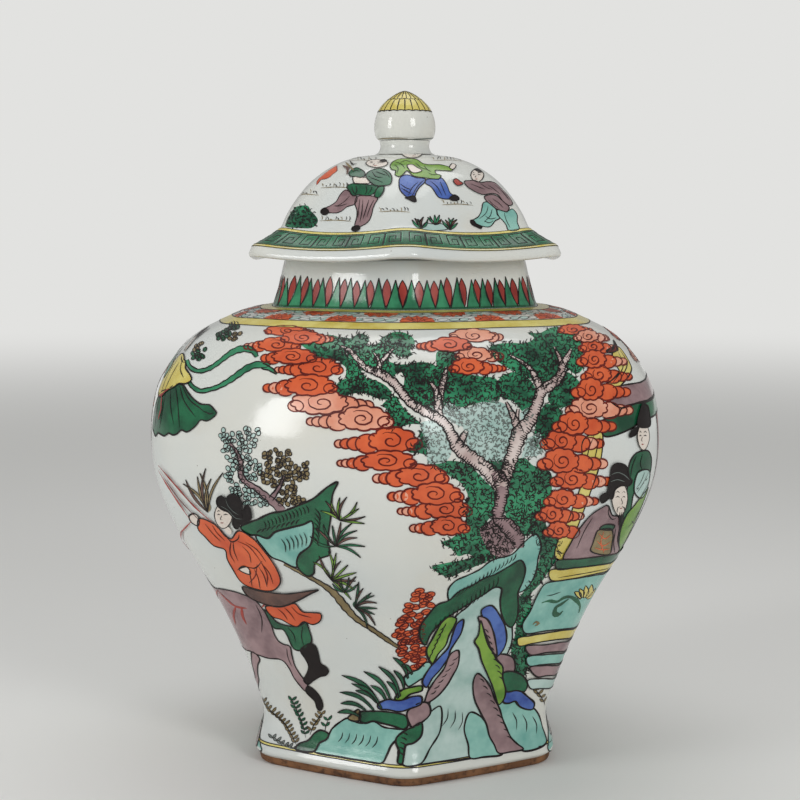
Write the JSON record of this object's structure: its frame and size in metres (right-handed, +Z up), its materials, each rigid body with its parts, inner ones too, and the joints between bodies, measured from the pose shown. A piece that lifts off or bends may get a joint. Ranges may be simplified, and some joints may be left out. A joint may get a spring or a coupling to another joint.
{
  "type": "covered jar",
  "caption": "Tall covered porcelain jar of soft hexagonal baluster form, with a lift-off domed cover, an upturned eave and a bud finial.",
  "frame": {"origin": "centre of the flat under the foot ring, where the jar stands", "axes": "+Z up along the axis of the jar and its cover; one corner of the hexagon points to -Y, the side that the picture shows, and the middle of a flat side points to +X"},
  "size_m": [0.3054, 0.3238, 0.4],
  "materials": {
    "glazed_porcelain": "gloss",
    "bare_foot": "matte",
    "bare_rim": "matte"
  },
  "bodies": {
    "jar": {"foot_ring": "bare_foot", "base_slab": "bare_rim", "lower_body": "glazed_porcelain", "upper_body": "glazed_porcelain", "neck": "glazed_porcelain"},
    "cover": {"cover_collar": "bare_rim", "cover_eave": "glazed_porcelain", "cover_dome": "glazed_porcelain", "finial_stem": "glazed_porcelain", "finial_bud": "glazed_porcelain"}
  },
  "joints": [
    {"name": "cover_lift", "type": "slide", "parent": "jar", "child": "cover", "axis": [0, 0, 1], "range_m": [0, 0.12]}
  ]
}
